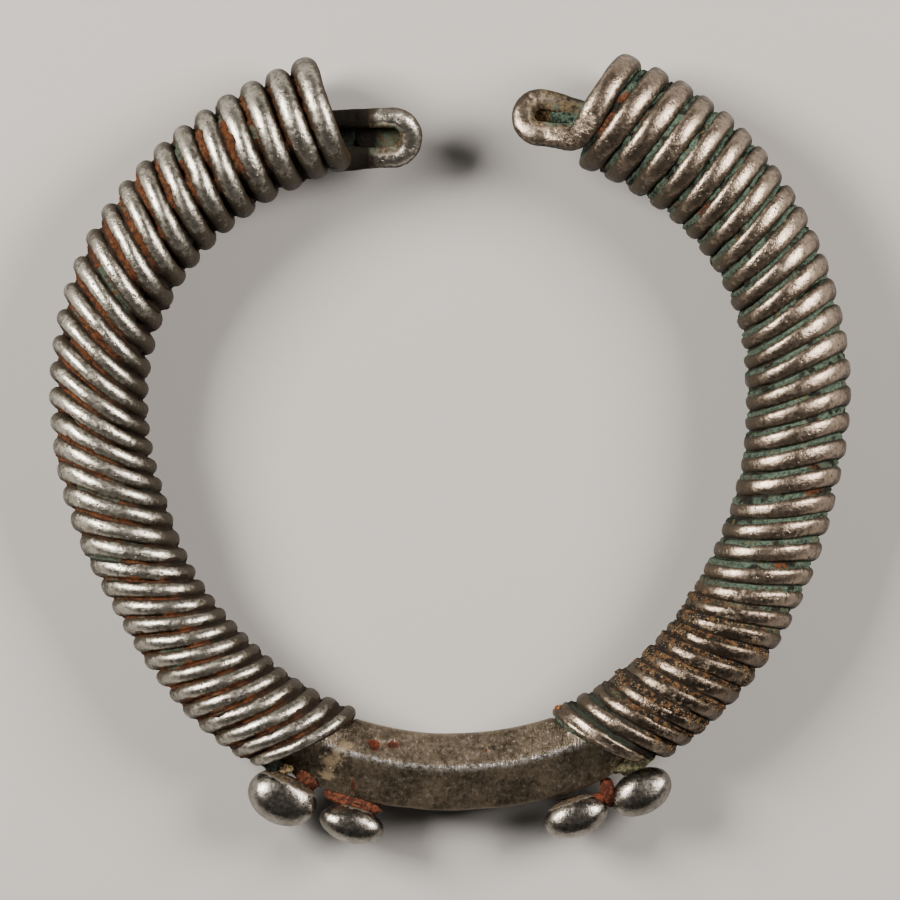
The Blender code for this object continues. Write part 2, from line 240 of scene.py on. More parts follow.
# Drops of solder and lumps of crust: place from the hoop's centre and half sizes, both in millimetres, turn
# in plan, seed, roughness, how far the left side is painted dark as shadow, and residue
CLUMPS = {
    "solder_left_outer": ((-14.3, -34.5, 5.4), (1.4, 0.9, 1.0), -50, 61, 0.15, 0.0, "red_residue"),
    "solder_left_inner": ((-9.8, -36.9, 5.0), (3.0, 0.9, 0.8), -20, 63, 0.15, 0.0, "red_residue"),
    "solder_right_inner": ((14.4, -36.9, 5.0), (2.0, 0.8, 0.9), 18, 65, 0.15, 0.0, "deep_red_residue"),
    "solder_right_outer": ((15.8, -35.9, 5.0), (0.8, 1.5, 1.0), 10, 67, 0.15, 0.0, "deep_red_residue"),
    "nodule_left": ((-16.4, -33.7, 6.0), (0.7, 0.5, 0.5), 0, 69, 0.4, 0.0, "gold_residue"),
    "crust_left_end": ((-18.1, -32.9, 5.6), (1.5, 0.9, 0.9), -25, 72, 0.3, 0.0, "dark_residue"),
    "crust_right_end": ((18.6, -32.7, 5.6), (2.2, 1.0, 0.9), 30, 71, 0.4, 0.0, "olive_residue"),
    "nugget_right": ((10.9, -27.9, 5.4), (0.6, 0.6, 0.6), 0, 73, 0.25, 0.0, "nugget"),
    "eye_valley_right": ((12.4, 31.65, 6.4), (2.6, 1.1, 0.8), -3, 75, 0.3, 0.0, "green_residue"),
    "eye_pit_right": ((9.4, 31.8, 5.9), (1.5, 1.5, 0.9), 0, 79, 0.3, 0.0, "brown_residue"),
    "eye_fill_left": ((-6.9, 29.5, 5.0), (3.1, 2.2, 0.9), 0, 77, 0.15, 1.0, "eye_crust"),
    # Painted shadow: a dark lump beside the left eye, where the first turn's shadow falls
    "eye_shadow_lump_left": ((-9.6, 29.6, 4.6), (3.2, 2.0, 0.8), 0, 74, 0.3, 0.0, "dark_residue"),
}

# Colours
TARNISH = (0.034, 0.026, 0.017)
RUST = (0.078, 0.024, 0.008)
OCHRE = (0.128, 0.066, 0.025)
BURNT_OCHRE = (0.128, 0.080, 0.034)
VERDIGRIS = (0.086, 0.124, 0.090)
DEEP_GREEN = (0.013, 0.021, 0.016)
SOOT = (0.008, 0.0065, 0.005)
PALE_CRUST = (0.20, 0.155, 0.09)
RED_CRUST = (0.118, 0.038, 0.014)
YELLOW_CRUST = (0.10, 0.078, 0.022)
PINK_BRIGHT = (0.35, 0.278, 0.215)
BROWN_BODY = (0.120, 0.091, 0.066)
COOL_BRIGHT = (0.50, 0.465, 0.400)
GREY_BODY = (0.140, 0.126, 0.100)
RUSTY_BROWN = (0.045, 0.022, 0.010)
TAN_GRIME = (0.15, 0.105, 0.055)
BAR_BROWN = (0.042, 0.033, 0.023)
BAR_GREY = (0.200, 0.158, 0.112)
BAR_GLINT = (0.46, 0.465, 0.48)
BAR_STAIN = (0.19, 0.14, 0.078)
PIT_BLACK = (0.020, 0.007, 0.004)
PIT_RED = (0.075, 0.016, 0.006)
KNOB_VEIN = (0.075, 0.066, 0.054)
KNOB_BRIGHT = (0.36, 0.335, 0.295)
KNOB_FOOT_BROWN = (0.055, 0.038, 0.022)
WARM_LIGHT = (1.0, 0.95, 0.88)
WARMER_LIGHT = (1.0, 0.94, 0.88)
SKY_LIGHT = (1.0, 0.97, 0.93, 1.0)
FLOOR_GREY = (0.35, 0.34, 0.33, 1.0)
# The two mottled colours of each dry lump
RESIDUES = {
    "red_residue": ((0.028, 0.009, 0.006), (0.115, 0.036, 0.016)),
    "brown_residue": ((0.03, 0.018, 0.010), (0.16, 0.095, 0.040)),
    "green_residue": (DEEP_GREEN, VERDIGRIS),
    "olive_residue": ((0.022, 0.021, 0.011), (0.11, 0.10, 0.055)),
    "gold_residue": ((0.05, 0.032, 0.014), (0.26, 0.19, 0.10)),
    "dark_residue": (SOOT, DEEP_GREEN),
    "deep_red_residue": ((0.022, 0.007, 0.004), (0.095, 0.022, 0.009)),
    "nugget": (RUST, (0.30, 0.13, 0.03)),
    "eye_crust": (VERDIGRIS, TAN_GRIME),
}

# Fineness of the meshes
STEPS_PER_TURN = 96
WIRE_SIDES = 24
FILL_STEPS_PER_TURN = 60
CORE_STEPS = 60
BAR_STEPS = 200
BAR_SIDES = 72
KNOB_STEPS = 72
KNOB_SIDES = 96
CLUMP_STEPS = 28
CLUMP_SIDES = 44


def cubic(t, start, start_slope, end, end_slope):
    """The cubic curve between two values or points with the given slopes, at shares t of the way."""
    leaving = (2 * t**3 - 3 * t**2 + 1) * start + (t**3 - 2 * t**2 + t) * start_slope
    return leaving + (3 * t**2 - 2 * t**3) * end + (t**3 - t**2) * end_slope


def along(stations, share):
    """Value at a share of the arm: cubic pieces through the stations, sloped by their neighbours."""
    at, value = np.array(stations, float).T
    share = np.clip(share, at[0], at[-1])
    slope = np.gradient(value, at)
    i = np.clip(np.searchsorted(at, share) - 1, 0, len(at) - 2)
    step = at[i + 1] - at[i]
    return cubic((share - at[i]) / step, value[i], step * slope[i], value[i + 1], step * slope[i + 1])


def smooth(low, high, x):
    """0 below low, 1 above high, and an S-shaped rise between; low above high gives a fall."""
    t = np.clip((x - low) / (high - low), 0, 1)
    return t * t * (3 - 2 * t)


def bump_at(x, middle, half_width):
    """A smooth hill of height 1 at the middle, gone at the half width on both sides."""
    return smooth(half_width, 0, np.abs(x - middle))


def lumps(points, size, seed):
    """Random lumps between -1 and 1: hashed values at the corners of cells, blended by S-shaped steps."""
    p = points / size + seed * 17.31
    cell = np.floor(p).astype(np.int64)
    t = p - cell
    t = t * t * (3 - 2 * t)
    total = 0.0
    for corner in np.ndindex(2, 2, 2):
        mixed = ((cell + corner) * (73856093, 19349663, 83492791)).sum(axis=-1)
        mixed = ((mixed ^ (mixed >> 13)) * 1274126177) & 0x7FFFFFFF
        weight = np.prod(np.where(np.array(corner, bool), t, 1 - t), axis=-1)
        total = total + weight * (mixed / 0x3FFFFFFF - 1)
    return total


def outward(angle):
    """Unit vectors from the hoop's centre, for angles in degrees."""
    a = np.radians(angle)
    return np.stack([np.cos(a), np.sin(a), np.zeros_like(a)], axis=-1)


def unit(vectors):
    """The same directions with length one."""
    return vectors / np.linalg.norm(vectors, axis=-1, keepdims=True)


def polar(points):
    """Angle round the hoop in degrees from -90 to 270, and distance from the hoop's axis."""
    angle = np.degrees(np.arctan2(points[..., 1], points[..., 0]))
    return np.where(angle < -90, angle + 360, angle), np.hypot(points[..., 0], points[..., 1])


def hoop_radius(angle):
    """Distance of the centre line from the hoop's centre: the mean radius plus each lobe's cosine."""
    radius = HOOP_RADIUS
    for lobe_count, height, direction in HOOP_LOBES:
        radius = radius + height * np.cos(np.radians(lobe_count * (angle - direction)))
    return radius


def span_of(arm):
    """Angle from the arm's first crest to its last."""
    return abs(arm["last_crest"] - arm["first_crest"])


def share_at(arm, angle):
    """Share of the arm, 0 at its first crest and 1 at its last."""
    return arm["sign"] * (angle - arm["first_crest"]) / span_of(arm)


def wire_width(share):
    """Thickness of the wound wire, which thins from the eye to the bar."""
    return along(((0, WIRE_AT_EYE), (0.45, WIRE_MIDWAY), (1, WIRE_AT_BAR)), share)


def coil_radius(arm, share):
    """Outer radius of the windings, which is also the height of the hoop's axis above the floor."""
    return along(arm["coil_width"], share) / 2


def winding_angle(arm, turn):
    """Angle round the hoop at a turn number: even turns that wander, bunch together and lean by the tilt."""
    share = turn / arm["turns"]
    wander = sum(height * np.sin(math.pi * (k + 1) * share) for k, height in enumerate(arm["wander"]))
    bunched = sum(shift * bump_at(turn, middle, reach) for middle, reach, shift in arm["bunched"])
    lean = along(arm["tilt"], share) * (1 - np.cos(turn * math.tau)) / 2
    return arm["first_crest"] + arm["sign"] * (span_of(arm) * share + wander + bunched + lean)


def winding_frame(arm, turn):
    """Centre points, outward normals, sideways directions, thickness and half width of the wire at turns.

    A turn runs outer side, back, inner side, front: the centre is the hoop's centre line plus the normal
    times the windings' middle radius. The width gives way where the neighbours leave less room."""
    share = turn / arm["turns"]
    angle = winding_angle(arm, turn)
    thickness = wire_width(share)
    coil = coil_radius(arm, share_at(arm, angle))
    middle = coil - thickness / 2
    phase = turn * math.tau
    radial = outward(angle)
    normal = np.cos(phase)[:, None] * radial - np.sin(phase)[:, None] * UP
    local_radius = hoop_radius(angle) + np.cos(phase) * middle
    next_gap = np.abs(winding_angle(arm, turn + 1) - angle)
    previous_gap = np.abs(angle - winding_angle(arm, turn - 1))
    room = np.radians(np.minimum(next_gap, previous_gap)) * local_radius - TURN_CLEARANCE
    freed = smooth(0, -arm["lead"], turn)
    upper_flat, lower_flat = arm["flat"]
    flat = upper_flat + (lower_flat - upper_flat) * smooth(0.35, 0.6, share)
    half = ((1 - freed) * np.minimum(thickness * flat, room) + freed * thickness) / 2
    centre = hoop_radius(angle)[:, None] * radial + coil[:, None] * UP + middle[:, None] * normal
    side = -arm["sign"] * np.cross(UP, radial)
    # Hammering leaves the wire narrower in places, most on the inner side, and a little off its even path
    growing = 0.4 * smooth(0.5, 1.5, turn) + 0.6 * smooth(5, 12, turn)
    pinched = arm["pinch"] * smooth(0.5, -0.8, np.cos(phase)) * growing
    loose = 1 + (arm["narrowed"] - 1) * smooth(0.2, 1.0, turn) - pinched
    uneven = 1 - WIRE_UNEVENNESS / 2 + WIRE_UNEVENNESS * lumps(centre, 4.1 * MM, 81)
    half = half * loose * uneven
    # The first groove stands wider open: the first turn leans to the eye and the next is pared on that side
    leaning = arm["first_gap"] * bump_at(turn, -0.12, 0.3) * 0.8
    pared = arm["first_gap"] * bump_at(turn, 0.88, 0.42) / 2
    half = half - pared
    sway = WIRE_SWAY * lumps(centre, 5.3 * MM, 83)
    centre = centre + (sway + leaning - pared)[:, None] * side
    return centre, normal, side, thickness, half


def unit_circle(sides):
    """Points at even angles round a circle of radius one."""
    a = np.arange(sides) * math.tau / sides
    return np.stack([np.cos(a), np.sin(a)], axis=-1)


def oval(sides, power):
    """Corners of a rounded square between -1 and 1: the higher the power, the flatter its sides.

    Cosine and sine of even angles keep their signs, and their sizes are raised to two over the power."""
    round_corners = unit_circle(sides)
    return np.sign(round_corners) * np.abs(round_corners) ** (2 / power)


def winding_rings(arm):
    """Rings of the wound wire from its tail at the bar to its start at the eye, with each ring's turn, centre
    and normal: the rounded square, as thick and wide as the wire is there, set square to the helix."""
    last = arm["turns"]
    count = round((last + arm["tail"] + arm["lead"]) * STEPS_PER_TURN)
    turn = np.linspace(last + arm["tail"], -arm["lead"], count + 1)
    centre, normal, side, thickness, half = winding_frame(arm, turn)
    through_band = np.clip((turn - last) / BAND_TURNS + 1, 0, 1)
    band = arm["band"] / 2 * np.sin(math.pi * through_band)
    from_tip = (last + arm["tail"] - turn) / TIP_TURNS
    end = TIP_START + (1 - TIP_START) * np.sqrt(np.clip(from_tip, 0, 1))
    shape = oval(WIRE_SIDES, arm["square"])
    n = shape[:, 0] * (thickness / 2 * end)[:, None]
    # The band carries a shallow furrow along its middle
    n = n - np.clip(shape[:, 0], 0, 1) * np.exp(-((shape[:, 1] / 0.35) ** 2)) * (band * 1.2)[:, None]
    b = shape[:, 1] * ((half + band) * end)[:, None]
    # Each turn rides up a little on the side of the eye
    n = n + arm["lean"] * shape[:, 1] * (thickness * smooth(0.1, 0.6, turn))[:, None]
    base = (centre - band[:, None] * side)[:, None]
    return base + n[..., None] * normal[:, None] + b[..., None] * side[:, None], turn, centre, normal


def eye_rings(arm, joint, joint_way, joint_normal):
    """Rings of the eye, swept square to their path: the lower strand is a cubic curve on from the first turn,
    the loop is half a circle that rises evenly, and the upper strand is a cubic curve back to the core."""
    face_angle = arm["first_crest"] - EYE_LEAD_ANGLE * arm["sign"]
    away = np.array([float(arm["sign"]), 0.0, 0.0])
    inside = np.array([0.0, -1.0, 0.0])
    face = hoop_radius(face_angle) * outward(face_angle) + coil_radius(arm, 0) * UP
    lower_lift, upper_lift = arm["eye_lift"]
    centre = face + arm["eye_reach"] * away + arm["eye_drop"] * inside
    core_end = face + arm["exit_drop"] * inside
    swing = np.linspace(0, math.pi, 49)
    ray = np.cos(swing)[:, None] * inside + np.sin(swing)[:, None] * away
    lift = lower_lift + (upper_lift - lower_lift) * (1 - np.cos(swing)) / 2
    loop = centre + arm["eye_radius"] * ray + lift[:, None] * UP
    reach = arm["eye_reach"]
    t = np.linspace(0, 1, 33)[1:, None]
    lower = cubic(t, joint, reach * joint_way, loop[0], LOWER_PULL * reach * away)
    inward = unit(core_end - loop[-1])
    upper = cubic(t, loop[-1], -UPPER_PULL * reach * away, core_end, UPPER_PULL * reach * inward)
    points = np.concatenate([lower, loop[1:], upper])
    bend = smooth(0, 1, t)
    normals_lower = (1 - bend) * joint_normal + bend * ray[0]
    normals_upper = (1 - bend) * ray[-1] + bend * outward(arm["first_crest"])
    normals = np.concatenate([normals_lower, ray[1:], normals_upper])
    way = unit(np.gradient(points, axis=0))
    normals = unit(normals - (normals * way).sum(axis=1, keepdims=True) * way)
    side = -arm["sign"] * np.cross(way, normals)
    half = np.linspace(WIRE_AT_EYE, UPPER_STRAND, len(points)) / 2
    shape = oval(WIRE_SIDES, arm["square"]) * half[:, None, None]
    return points[:, None] + shape[..., :1] * normals[:, None] + shape[..., 1:] * side[:, None]


def new_mesh(name, points, quads, triangles=(), **amounts):
    """A shown piece from arrays of points and faces, turned outwards, with named amounts per point."""
    quads = np.asarray(quads, np.int32).reshape(-1, 4)
    triangles = np.asarray(triangles, np.int32).reshape(-1, 3)
    fans = np.concatenate([quads[:, [0, 1, 2]], quads[:, [0, 2, 3]], triangles])
    a, b, c = (points[fans[:, k]] for k in range(3))
    if (np.cross(a, b) * c).sum() < 0:
        quads, triangles = quads[:, ::-1], triangles[:, ::-1]
    mesh = bpy.data.meshes.new(name)
    mesh.vertices.add(len(points))
    placed = points + HOOP_PLACE
    placed[:, 2] = np.maximum(placed[:, 2], 0.0)
    mesh.vertices.foreach_set("co", placed.astype(np.float32).ravel())
    corners = np.concatenate([quads.ravel(), triangles.ravel()]).astype(np.int32)
    sizes = np.concatenate([np.full(len(quads), 4), np.full(len(triangles), 3)]).astype(np.int32)
    mesh.loops.add(len(corners))
    mesh.loops.foreach_set("vertex_index", corners)
    mesh.polygons.add(len(sizes))
    mesh.polygons.foreach_set("loop_start", np.concatenate([[0], np.cumsum(sizes)[:-1]]).astype(np.int32))
    mesh.polygons.foreach_set("loop_total", sizes)
    mesh.update(calc_edges=True)
    mesh.shade_smooth()
    for label, amount in amounts.items():
        layer = mesh.attributes.new(label, "FLOAT", "POINT")
        layer.data.foreach_set("value", np.asarray(amount, np.float32).ravel())
    made = bpy.data.objects.new(name, mesh)
    bpy.context.scene.collection.objects.link(made)
    return made


def tube(name, rings, **amounts):
    """A closed tube through rings of equal corner count; each end closes on a pole in its middle."""
    count, sides = rings.shape[:2]
    at = np.arange(count * sides).reshape(count, sides)
    here, there = at[:-1], at[1:]
    quads = np.stack([here, there, np.roll(there, -1, 1), np.roll(here, -1, 1)], axis=-1)
    poles = rings[[0, -1]].mean(axis=1)
    first, last = count * sides, count * sides + 1
    start = np.stack([np.full(sides, first), at[0], np.roll(at[0], -1)], axis=-1)
    finish = np.stack([np.full(sides, last), np.roll(at[-1], -1), at[-1]], axis=-1)
    points = np.concatenate([rings.reshape(-1, 3), poles])
    with_poles = {
        label: np.concatenate([amount.ravel(), amount[[0, -1]].mean(axis=1)])
        for label, amount in amounts.items()
    }
    return new_mesh(name, points, quads, np.concatenate([start, finish]), **with_poles)


def ring_normals(rings):
    """Outward directions at the corners of a tube's rings, from its two grid directions."""
    lengthways = np.gradient(rings, axis=0)
    around = np.roll(rings, -1, axis=1) - np.roll(rings, 1, axis=1)
    normal = unit(np.cross(lengthways, around))
    outward_way = rings - rings.mean(axis=1, keepdims=True)
    return normal * np.sign((normal * outward_way).sum(axis=-1).mean())


def arm_char(arm, points):
    """How far the windings at points are burnt and crusted: only the lower part of the right arm."""
    angle, _ = polar(points)
    if arm["sign"] > 0:
        return np.zeros_like(angle)
    return smooth(-24, -38, angle) * smooth(-63, -54, angle)


def wire_piece(name, arm):
    """The whole wound wire of an arm with its eye, moved along its normals: in where the hammer dented it or
    where it is pitted or torn, and out and in by the crust where it is burnt."""
    winding, turn, centres, normals = winding_rings(arm)
    eye = eye_rings(arm, centres[-1], unit(centres[-1] - centres[-2]), normals[-1])
    rings = np.concatenate([winding, eye])
    turn = np.concatenate([turn, -arm["lead"] - np.arange(1, len(eye) + 1) * 0.01])
    out = ring_normals(rings)
    height = np.broadcast_to(unit_circle(WIRE_SIDES)[:, 0], rings.shape[:2])
    on_eye = smooth(-arm["lead"], -arm["lead"] - 0.1, turn)[:, None] * np.ones(WIRE_SIDES)
    char = arm_char(arm, rings)
    dents = 0.09 * np.clip(lumps(rings, 2.6 * MM, 3) + 0.1, 0, 1)
    dents = dents + 0.05 * np.clip(lumps(rings, 0.9 * MM, 5), 0, 1)
    pits = np.clip(lumps(rings, 0.45 * MM, 7) - 0.55, 0, 1) * (0.22 + 0.3 * char + 0.2 * on_eye)
    crust = char * (1 - height) * (0.10 * lumps(rings, 0.8 * MM, 11) + 0.07 * lumps(rings, 0.35 * MM, 13))
    scar = np.zeros_like(char)
    for x, y, reach in SCARS:
        gap = np.hypot(rings[..., 0] - x * MM, rings[..., 1] - y * MM)
        scar = np.maximum(scar, smooth(reach * MM, 0.5 * reach * MM, gap) * (out[..., 2] > 0))
    torn = scar * (0.14 + 0.50 * np.clip(lumps(rings, 0.6 * MM, 15), -0.3, 1))
    rings = rings + ((crust - dents - pits - torn) * MM)[..., None] * out
    high = height * (1 - on_eye) + np.clip(0.25 + 0.75 * out[..., 2], 0, 1) * on_eye
    # Painted shade: the coil's inner side, and a little of its outer side, are marked to be darkened as if in
    # shade
    coil_side = np.cos(turn * math.tau)[:, None] * np.ones(WIRE_SIDES)
    turned = smooth(-0.45, -0.95, coil_side) + 0.6 * smooth(0.7, 1.0, coil_side)
    # The left eye is painted dark as shadow where it comes out of the windings; both are soiled round their
    # openings
    x, y = rings[..., 0] / MM, rings[..., 1] / MM
    if arm["sign"] > 0:
        dull = 1.7 * smooth(-6.9, -8.6, x)
        from_opening = np.hypot(np.maximum(x - LEFT_OPENING[0], 0), y - LEFT_OPENING[1])
        grime = smooth(1.75, 1.35, from_opening)
    else:
        dull = 0.5 * smooth(31.9, 33.0, y)
        from_opening = np.hypot(np.minimum(x - RIGHT_OPENING[0], 0), y - RIGHT_OPENING[1])
        grime = smooth(1.6, 1.1, from_opening).clip(0.55 * smooth(32.0, 32.8, y) * smooth(8.0, 9.5, x))
    grime = grime * on_eye
    # The inner amount carries painted shade on the coil's sides and on the left eye, and darkens the right
    # eye's upper strand
    inner = turned * (1 - on_eye) + dull * on_eye
    return tube(name, rings, height=high, char=char, inner=inner, scar=scar, grime=grime)


def right_crust_level(turn, across, top):
    """How far the right arm's crust lies under the crests, as a share of the wire's thickness, and its shade.

    It lies lower beside the turn nearer the eye, where it is in shade, and higher on the inner side. The
    shade is painted dark on the crust."""
    outer = np.cos(turn * math.tau)
    shaded = smooth(0.02, -0.24, across)
    fuller = smooth(0.1, -0.9, outer) * smooth(-6, 12, turn) - 0.7 * smooth(0.3, 0.9, outer)
    return 0.225 - 0.09 * fuller[:, None] + 0.14 * shaded + 0.13 * lumps(top, 2.2 * MM, 21), shaded


def left_crust_level(turn, across, top):
    """How far the left arm's crust lies under the crests, as a share of the wire's thickness, and its shade.

    It clings to the turn nearer the eye and is painted dark beside the next one, where it lies in shade. It
    is thin near the eye, and on the outline of the upper half."""
    shaded = np.maximum(smooth(0.04, 0.2, across), 0.6 * smooth(0.24, 0.4, -across))
    level = 0.38 - 0.15 * smooth(0.0, 0.38, -across) - 0.03 * smooth(0.05, 0.35, across)
    level = level + 0.20 * lumps(top, 1.7 * MM, 21)
    thin = 0.4 * smooth(8, 3, turn) + smooth(0.8, 1.0, np.cos(turn * math.tau)) * smooth(20, 14, turn)
    return level + 0.08 * thin[:, None] - 0.05 * smooth(14, 20, turn)[:, None], shaded


def groove_fill(name, arm):
    """Crust in the groove between neighbouring turns: a helical strip from one wire's middle to the next.

    Its top lies a share of the wire's thickness under the line from crest to crest, lower where the groove is
    open, and lumpy."""
    on_right = arm["sign"] < 0
    last = arm["turns"] - 1 + arm["tail"]
    count = round((last + arm["lead"]) * FILL_STEPS_PER_TURN)
    turn = np.linspace(-arm["lead"], last, count + 1)
    centre, normal, _, thickness, _ = winding_frame(arm, turn)
    next_centre, next_normal, _, next_thickness, _ = winding_frame(arm, turn + 1)
    crest = centre + thickness[:, None] / 2 * normal
    next_crest = next_centre + next_thickness[:, None] / 2 * next_normal
    thickness = (thickness + next_thickness) / 2
    normal = unit(normal + next_normal)
    across = np.array(FILL_ACROSS)
    share = (across + 1) / 2
    top = (1 - share)[:, None] * crest[:, None] + share[:, None] * next_crest[:, None]
    crust_level = right_crust_level if on_right else left_crust_level
    level, shaded = crust_level(turn, across, top)
    level = level + 0.10 * lumps(top, 0.55 * MM, 23)
    level = level - 0.09 * arm_char(arm, top) * (1 + lumps(top, 1.1 * MM, 27))
    for at_turn, half_turns in OPEN_GROOVES[name]:
        level = level + 0.5 * bump_at(turn, at_turn, half_turns)[:, None]
    drop = level * thickness[:, None]
    upper = top - drop[..., None] * normal[:, None]
    under = np.array(FILL_UNDERSIDE)
    lower = (1 - under)[:, None] * crest[:, None] + under[:, None] * next_crest[:, None]
    lower = lower - (FILL_DEPTH * thickness)[:, None, None] * normal[:, None]
    rings = np.concatenate([upper, lower], axis=1)
    tone = lumps(rings, 3.5 * MM, 31)
    # Greenish patches on the left arm, and rusty first grooves on the right one
    for x, y, reach in GROOVE_STAINS[name]:
        gap = np.hypot(rings[..., 0] - x * MM, rings[..., 1] - y * MM) / MM
        tone = np.maximum(tone, 1.2 * smooth(reach, 0.4 * reach, gap))
    # Painted shade: the edge amount darkens the crust beside the shaded turn and on its hidden underside
    edge = np.concatenate([np.broadcast_to(shaded, level.shape), np.ones((len(turn), len(under)))], axis=1)
    outer = np.cos(turn * math.tau)
    # Painted shade: the crust on the coil's inner side is darkened, only a little on the right arm
    inner = smooth(0.0, -0.65, outer)[:, None] * np.ones(rings.shape[1])
    # The right arm's crust turns dark near the bar, the left arm's along the outline of its upper half
    if on_right:
        edge = np.maximum(edge, 0.8 * smooth(-55, -59, polar(rings)[0]))
        inner = 0.3 * inner
    else:
        edge = np.maximum(edge, (0.75 * smooth(0.85, 1.0, outer) * smooth(20, 14, turn))[:, None])
    return tube(name, rings, char=arm_char(arm, rings), tone=tone, edge=edge, inner=inner)


def rounded_profile(corners, samples, passes):
    """A closed profile sampled evenly along straight sides, its corners rounded by averaging neighbours."""
    corners = np.array(corners)
    ahead = np.roll(corners, -1, axis=0)
    sides = np.linalg.norm(ahead - corners, axis=1)
    at = np.concatenate([[0], np.cumsum(sides)])
    along_line = np.arange(samples) / samples * at[-1]
    i = np.clip(np.searchsorted(at, along_line, side="right") - 1, 0, len(corners) - 1)
    t = ((along_line - at[i]) / sides[i])[:, None]
    line = (1 - t) * corners[i] + t * ahead[i]
    for _ in range(passes):
        line = 0.5 * line + 0.25 * (np.roll(line, 1, axis=0) + np.roll(line, -1, axis=0))
    return line


def core_rows(arm, circle):
    """Angles, sections and heights of the plain core inside an arm's windings, from the eye to the bar.

    It is round, fills the windings up to a clearance and narrows to the upper strand's width at the eye."""
    share = np.linspace(0, 1, CORE_STEPS)
    angle = arm["first_crest"] + arm["sign"] * span_of(arm) * share
    height = coil_radius(arm, share)
    radius = height - wire_width(share) - CORE_CLEARANCE
    radius[:3] = np.linspace(UPPER_STRAND / 2 * 0.95, radius[3], 4)[:3]
    return angle[:, None] * np.ones(BAR_SIDES), circle * radius[:, None, None], height


def bar_piece():
    """The forged bar and the plain cores inside both arms, as one sweep along the hoop's centre line.

    The bar's section has a soft ridge and thin upturned rims. Past its reach it turns into the core's section
    by an S-shaped rise, later at the outer rim than at the inner one, so its ends slant under the turns."""
    bar = rounded_profile(
        [
            (BAR_WIDTH / 2, BAR_EDGE_LIFT - 0.25 * MM),
            (BAR_WIDTH / 2 - 0.05 * MM, BAR_EDGE_LIFT + 0.25 * MM),
            (-BAR_RIDGE_INSET + 0.2 * MM, BAR_RIDGE_HEIGHT),
            (-BAR_RIDGE_INSET - 0.2 * MM, BAR_RIDGE_HEIGHT),
            (-BAR_WIDTH / 2 + 0.1 * MM, BAR_EDGE_LIFT + 0.35 * MM),
            (-BAR_WIDTH / 2, BAR_EDGE_LIFT - 0.35 * MM),
            (-BAR_BACK_WIDTH / 2, -BAR_BACK_DEPTH),
            (BAR_BACK_WIDTH / 2, -BAR_BACK_DEPTH),
        ],
        BAR_SIDES,
        2,
    )
    turn_of_profile = np.arctan2(bar[:, 1], bar[:, 0])
    circle = np.stack([np.cos(turn_of_profile), np.sin(turn_of_profile)], axis=-1)
    right_angle, right_core, right_height = core_rows(ARMS["right"], circle)
    left_angle, left_core, left_height = core_rows(ARMS["left"], circle)
    outer_share = np.clip(bar[:, 0] / BAR_WIDTH + 0.5, 0, 1)
    right_reach, left_reach, taper = (
        outer_share * outer + (1 - outer_share) * inner
        for outer, inner in (BAR_RIGHT_REACH, BAR_LEFT_REACH, BAR_TAPER)
    )
    core_end = circle * (COIL_AT_BAR / 2 - WIRE_AT_BAR - CORE_CLEARANCE)
    t = np.linspace(0, 1, BAR_STEPS + 1)[:, None]
    bar_angle = (1 - t) * (BAR_ANGLE + right_reach + taper) + t * (BAR_ANGLE - left_reach - taper)
    off = bar_angle - BAR_ANGLE
    to_core = np.maximum(smooth(0, 1, (off - right_reach) / taper), smooth(0, 1, (-off - left_reach) / taper))
    section = (1 - to_core[..., None]) * bar + to_core[..., None] * core_end
    angles = np.concatenate([right_angle + 360, bar_angle, left_angle[::-1]])
    sections = np.concatenate([right_core, section, left_core[::-1]])
    heights = np.concatenate([right_height, np.full(len(t), COIL_AT_BAR / 2), left_height[::-1]])
    reach = hoop_radius(angles) + sections[..., 0]
    rings = reach[..., None] * outward(angles) + (heights[:, None] + sections[..., 1])[..., None] * UP
    out = ring_normals(rings)
    pits = np.zeros(rings.shape[:2])
    for pit_angle, pit_radius, size, depth in BAR_PITS:
        gap = np.linalg.norm((rings - pit_radius * outward(pit_angle))[..., :2], axis=-1)
        pits = np.maximum(pits, depth * smooth(size, size * 0.35, gap))
    pits = pits * (out[..., 2] > 0.2)
    dents = 0.07 * np.clip(lumps(rings, 2.4 * MM, 41) + 0.1, 0, 1) * MM
    scratches = 0.03 * np.clip(lumps(rings, 0.5 * MM, 43) - 0.2, 0, 1) * MM
    rings = rings - (pits + dents + scratches)[..., None] * out
    ridge = np.exp(-(((bar[:, 0] + BAR_RIDGE_INSET) / (0.19 * MM)) ** 2)) * (bar[:, 1] > 0)
    all_core = np.ones((CORE_STEPS, BAR_SIDES))
    ridge = ridge * (1 - np.concatenate([all_core, to_core, all_core]))
    rim = np.exp(-(((np.abs(bar[:, 0]) - BAR_WIDTH / 2) / (0.22 * MM)) ** 2))
    rim = np.broadcast_to(rim, rings.shape[:2])
    across, upwards = rings[..., 0] / MM, rings[..., 1] / MM
    marks = {
        label: sum(
            np.exp(-(((across - x) / half_width) ** 2) - ((upwards - y) / half_height) ** 2)
            for x, y, half_width, half_height in spots
        )
        for label, spots in BAR_MARKS.items()
    }
    return tube("forged_bar", rings, ridge=ridge, rim=rim, pit=pits / MM, **marks)


